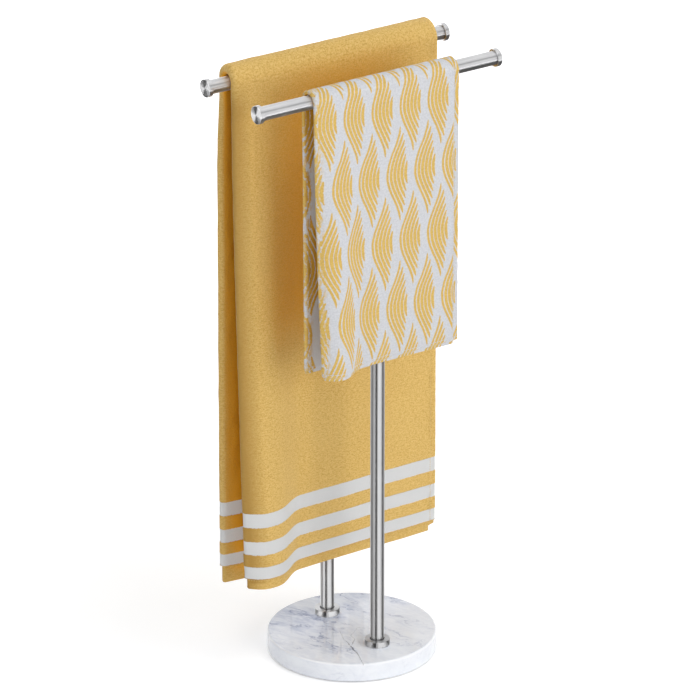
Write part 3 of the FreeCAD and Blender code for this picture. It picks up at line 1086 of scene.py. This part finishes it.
studio = {
    "floorColor": (0.86, 0.86, 0.86, 1),
    "floorHalf": 9.0,
    "floorLift": (0.5, 1.6, 0.305, 0.62),  # from and to, and how much there
    "worldColor": (0.97, 0.98, 1.0, 1),
    "worldStrength": 0.56,
    "aimHeight": 0.42,
    "lamps": (
        # name, azimuth from the front, elevation, distance, size, watts
        ("keyLamp", 8, 14, 3.2, 1.8, 38),
        ("rightLamp", 66, 20, 3.2, 1.4, 7),
        ("leftLamp", -70, 10, 3.2, 1.8, 16),
        ("topLamp", 42, 66, 3.0, 1.4, 20.5),
        ("rimLamp", 165, 42, 3.4, 1.0, 21),
    ),
    # tones that the steel shows, by azimuth from the front; cards face the rack and are clear from behind
    "ringReach": 0.05,
    "frontRing": (
        (-183, -141, 0.72),
        (-141, -124, 0.05),
        (-124, -103, 0.34),
        (-103, -70, 0.64),
        (-67, -41, 0.05),
        (-41, -28, 0.62),
        (-28, 20, 1.14),
        (20, 38, 0.72),
        (39, 63, 0.06),
        (63, 89, 0.42),
        (89, 160, 0.70),
    ),
    "rearRing": (
        (-190, -150, 1.05),
        (-142, -102, 0.36),
        (-99, -67, 1.12),
        (-66, -38, 0.07),
        (-38, -24, 0.80),
        (-24, 28, 1.20),
        (28, 44, 0.62),
        (44, 72, 0.08),
        (72, 110, 0.42),
    ),
    "uprightCards": (
        # azimuth and width in degrees, distance from the front post, lowest, highest, tone
        (-136, 24, 0.77, 0.002, 2.40, 0.0),
        (-166, 26, 0.85, 0.50, 1.60, 2.6),
        (-106, 26, 0.85, 0.50, 1.60, 2.6),
        (15, 115, 3.2, 0.80, 2.25, 1.10),
        (15, 115, 3.2, 2.25, 3.90, 0.50),
    ),
    "levelCards": (
        # left, right, front, back, height, tone; the low ones leave a hole round the front post
        (-0.60, -0.05, -0.47, 0.02, 0.56, 0.14),
        (-0.05, 0.05, -0.47, -0.11, 0.56, 0.14),
        (-0.05, 0.05, -0.01, 0.02, 0.56, 0.14),
        (0.05, 0.90, -0.47, 0.02, 0.56, 0.14),
        (0.21, 0.90, 0.02, 0.30, 0.56, 0.12),
        (-6.0, 6.0, -3.2, 4.0, 3.90, 1.10),
    ),
}


def seenBackground(tree):
    rays = tree.nodes.new("ShaderNodeLightPath").outputs
    seen = larger(tree, rays["Is Camera Ray"], rays["Is Glossy Ray"])
    return larger(tree, seen, rays["Is Transmission Ray"])


def curvedCard(middle, start, end, rows, parts=6):
    turns = np.radians(np.linspace(start, end, parts + 1))
    corners = []
    for reach, z in rows:
        corners += [(middle[0] + math.sin(t) * reach, middle[1] - math.cos(t) * reach, z) for t in turns]
    up = parts + 1
    starts = [up * row + i for row in range(len(rows) - 1) for i in range(parts)]
    return corners, [(k, k + up, k + up + 1, k + 1) for k in starts]


def cardShapes(spec):
    shapes = []
    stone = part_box("marble_base")[1].z + 0.5 * mm
    for side in ("front", "rear"):
        lo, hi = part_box(side + "_lower_post")
        middle = ((lo.x + hi.x) / 2, (lo.y + hi.y) / 2)
        reach = spec["ringReach"]
        foot = (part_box(side + "_collar")[1].x - middle[0] + 1 * mm, stone)
        rows = (foot, (reach, stone), (reach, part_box(side + "_rail")[0].z - 10 * mm))
        for start, end, tone in spec[side + "Ring"]:
            shapes.append((*curvedCard(middle, start, end, rows), tone))
        if side == "front":
            for azimuth, wide, away, low, high, tone in spec["uprightCards"]:
                start, end = azimuth - wide / 2, azimuth + wide / 2
                shapes.append((*curvedCard(middle, start, end, ((away, low), (away, high))), tone))
    for left, right, front, back, height, tone in spec["levelCards"]:
        outline = ((left, front), (right, front), (right, back), (left, back))
        corners = [(x, y, height) for x, y in outline]
        shapes.append((corners, [(3, 2, 1, 0) if height > 1 else (0, 1, 2, 3)], tone))
    return shapes


def makeCards(spec):
    for number, (corners, faces, tone) in enumerate(cardShapes(spec)):
        finish = bpy.data.materials.new(f"cardTone{number}")
        tree = emptyTree(finish)
        glow = addNode(tree, "ShaderNodeEmission", {"Color": (1, 1, 1, 1), "Strength": tone})
        clear = addNode(tree, "ShaderNodeBsdfTransparent")
        away = tree.nodes.new("ShaderNodeNewGeometry").outputs["Backfacing"]
        both = addNode(tree, "ShaderNodeMixShader", {0: away, 1: glow.outputs[0], 2: clear.outputs[0]})
        addNode(tree, "ShaderNodeOutputMaterial", {"Surface": both.outputs[0]})
        mesh = bpy.data.meshes.new(f"studioCard{number}")
        mesh.from_pydata(corners, [], faces)
        mesh.materials.append(finish)
        card = addObject(mesh.name, mesh)
        card.visible_camera = False
        card.visible_diffuse = False
        card.visible_shadow = False
        card.visible_transmission = False


def makeFloor(spec):
    mesh = bpy.data.meshes.new("floor")
    side = spec["floorHalf"]
    corners = [(-side, -side, 0), (side, -side, 0), (side, side, 0), (-side, side, 0)]
    mesh.from_pydata(corners, [], [(0, 1, 2, 3)])
    floor = addObject("floor", mesh)
    finish = bpy.data.materials.new("paleFloor")
    tree = emptyTree(finish)
    matt = addNode(tree, "ShaderNodeBsdfDiffuse", {"Color": spec["floorColor"]})
    away = vectorCalc(tree, "DISTANCE", objectPlace(tree), (0, 0, 0))
    lift = times(tree, seenBackground(tree), span(tree, away, *spec["floorLift"]))
    glow = addNode(tree, "ShaderNodeEmission", {"Strength": lift})
    both = addNode(tree, "ShaderNodeAddShader", {0: matt.outputs[0], 1: glow.outputs[0]})
    addNode(tree, "ShaderNodeOutputMaterial", {"Surface": both.outputs[0]})
    mesh.materials.append(finish)


def makeWorld(spec):
    world = bpy.data.worlds.new("studio")
    scene.world = world
    tree = emptyTree(world)
    inputs = {"Color": spec["worldColor"], "Strength": spec["worldStrength"]}
    light = addNode(tree, "ShaderNodeBackground", inputs)
    white = addNode(tree, "ShaderNodeBackground", {"Color": (1, 1, 1, 1), "Strength": 1.0})
    inputs = {0: seenBackground(tree), 1: light.outputs[0], 2: white.outputs[0]}
    pick = addNode(tree, "ShaderNodeMixShader", inputs)
    addNode(tree, "ShaderNodeOutputWorld", {"Surface": pick.outputs[0]})


def hangLamps(spec):
    aim = Vector((0, 0, spec["aimHeight"]))
    for name, azimuth, elevation, distance, size, watts in spec["lamps"]:
        away = wayTo(azimuth, elevation)
        data = bpy.data.lights.new(name, "AREA")
        data.shape = "SQUARE"
        data.size = size
        data.energy = watts
        lamp = addObject(name, data)
        lamp.location = aim + away * distance
        lamp.rotation_euler = away.to_track_quat("Z", "Y").to_euler()
        lamp.visible_glossy = False


makeFloor(studio)
makeWorld(studio)
makeCards(studio)
hangLamps(studio)
scene.view_settings.view_transform = "Standard"
print("studio ready")

for towel, stitches, info, node, terrySlot, rail in (
    (bathTowel, bathStitches, bathInfo, "bath_towel", "bath_terry", "rear_rail"),
    (handTowel, handStitches, handInfo, "hand_towel", "hand_terry", "front_rail"),
):
    for piece in (towel, stitches):
        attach(piece, node)
    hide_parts(node)
